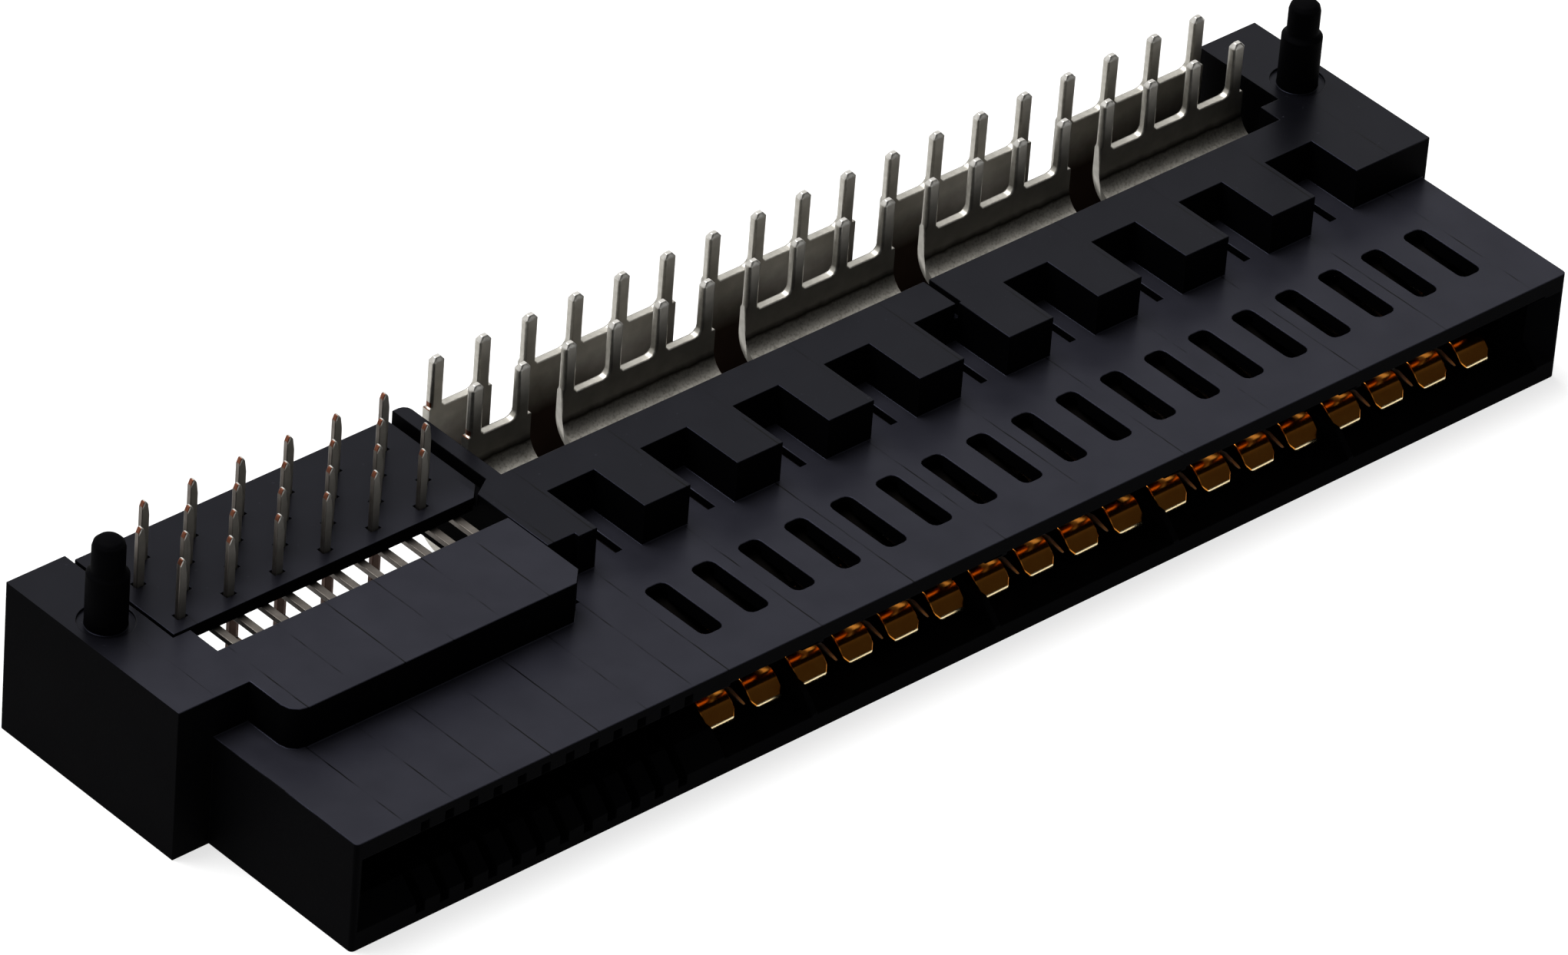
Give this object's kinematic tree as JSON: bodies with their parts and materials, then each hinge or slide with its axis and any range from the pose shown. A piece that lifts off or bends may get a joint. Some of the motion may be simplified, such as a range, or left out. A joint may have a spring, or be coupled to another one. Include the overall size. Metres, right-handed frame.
{
  "type": "right-angle card-edge connector",
  "caption": "Right-angle board-mounted connector with a card slot, a signal section and a power section, solder tails and two locating pegs.",
  "frame": {"origin": "middle of the underside, the side that lies down when the solder tails point up", "axes": "+X along the connector from the signal end to the power end, +Y from the mating face to the rear, +Z towards the solder tails"},
  "size_m": [0.0696, 0.02, 0.0115],
  "materials": {
    "housing_plastic": "black moulded thermoplastic, satin",
    "organizer_plastic": "black moulded thermoplastic, satin",
    "power_contact_metal": "stamped copper alloy, tin on the tails and gold on the beams",
    "signal_contact_metal": "stamped copper alloy, tin on the tails and gold on the beams"
  },
  "bodies": {
    "root": {"housing": "housing_plastic", "tail_organizer": "organizer_plastic", "power_contact_upper_1": "power_contact_metal", "power_contact_lower_1": "power_contact_metal", "power_contact_upper_2": "power_contact_metal", "power_contact_lower_2": "power_contact_metal", "power_contact_upper_3": "power_contact_metal", "power_contact_lower_3": "power_contact_metal", "power_contact_upper_4": "power_contact_metal", "power_contact_lower_4": "power_contact_metal", "power_contact_upper_5": "power_contact_metal", "power_contact_lower_5": "power_contact_metal", "signal_contact_upper_01": "signal_contact_metal", "signal_contact_lower_01": "signal_contact_metal", "signal_contact_upper_02": "signal_contact_metal", "signal_contact_lower_02": "signal_contact_metal", "signal_contact_upper_03": "signal_contact_metal", "signal_contact_lower_03": "signal_contact_metal", "signal_contact_upper_04": "signal_contact_metal", "signal_contact_lower_04": "signal_contact_metal", "signal_contact_upper_05": "signal_contact_metal", "signal_contact_lower_05": "signal_contact_metal", "signal_contact_upper_06": "signal_contact_metal", "signal_contact_lower_06": "signal_contact_metal", "signal_contact_upper_07": "signal_contact_metal", "signal_contact_lower_07": "signal_contact_metal", "signal_contact_upper_08": "signal_contact_metal", "signal_contact_lower_08": "signal_contact_metal", "signal_contact_upper_09": "signal_contact_metal", "signal_contact_lower_09": "signal_contact_metal", "signal_contact_upper_10": "signal_contact_metal", "signal_contact_lower_10": "signal_contact_metal", "signal_contact_upper_11": "signal_contact_metal", "signal_contact_lower_11": "signal_contact_metal", "signal_contact_upper_12": "signal_contact_metal", "signal_contact_lower_12": "signal_contact_metal"}
  },
  "joints": []
}
